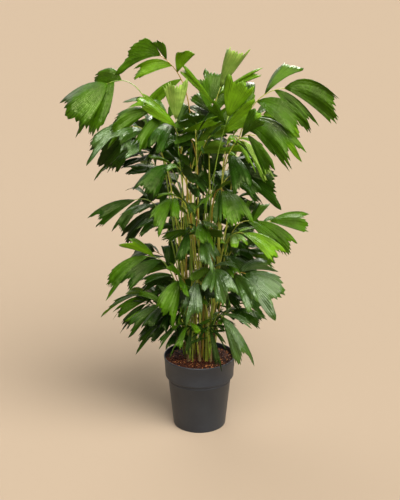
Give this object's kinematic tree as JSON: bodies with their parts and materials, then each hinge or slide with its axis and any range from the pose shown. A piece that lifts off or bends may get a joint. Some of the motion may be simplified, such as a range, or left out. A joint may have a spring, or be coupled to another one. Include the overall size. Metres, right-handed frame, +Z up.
{
  "type": "clustering fishtail palm",
  "caption": "Clump-forming indoor palm with slender canes and arching fronds of ragged wedge-shaped leaflets, in a round tapered nursery pot.",
  "frame": {"origin": "middle of the pot's flat underside", "axes": "+Z up along the clump, -Y towards the front of the plant, +X to its right as seen from the front"},
  "size_m": [0.8672, 0.6233, 1.2977],
  "materials": {
    "pot": "matte injection-moulded polypropylene, charcoal",
    "potting_mix": "damp bark chips and peat",
    "cane": "matte fibrous sheaths",
    "frond": "satin living leaf"
  },
  "bodies": {
    "root": {"pot": "pot", "potting_mix": "potting_mix", "cane_01": "cane", "cane_02": "cane", "cane_03": "cane", "cane_04": "cane", "cane_05": "cane", "cane_06": "cane", "cane_07": "cane", "cane_08": "cane", "cane_09": "cane", "cane_10": "cane", "frond_01_1": "frond", "frond_01_2": "frond", "frond_01_3": "frond", "frond_01_4": "frond", "frond_01_5": "frond", "frond_01_6": "frond", "frond_02_1": "frond", "frond_02_2": "frond", "frond_02_3": "frond", "frond_02_4": "frond", "frond_02_5": "frond", "frond_03_1": "frond", "frond_03_2": "frond", "frond_03_3": "frond", "frond_03_4": "frond", "frond_03_5": "frond", "frond_04_1": "frond", "frond_04_2": "frond", "frond_04_3": "frond", "frond_04_4": "frond", "frond_04_5": "frond", "frond_05_1": "frond", "frond_05_2": "frond", "frond_05_3": "frond", "frond_05_4": "frond", "frond_05_5": "frond", "frond_06_1": "frond", "frond_06_2": "frond", "frond_06_3": "frond", "frond_06_4": "frond", "frond_06_5": "frond", "frond_07_1": "frond", "frond_07_2": "frond", "frond_07_3": "frond", "frond_07_4": "frond", "frond_07_5": "frond", "frond_08_1": "frond", "frond_08_2": "frond", "frond_08_3": "frond", "frond_08_4": "frond", "frond_08_5": "frond", "frond_09_1": "frond", "frond_09_2": "frond", "frond_09_3": "frond", "frond_10_1": "frond", "frond_10_2": "frond", "frond_10_3": "frond"}
  },
  "joints": []
}
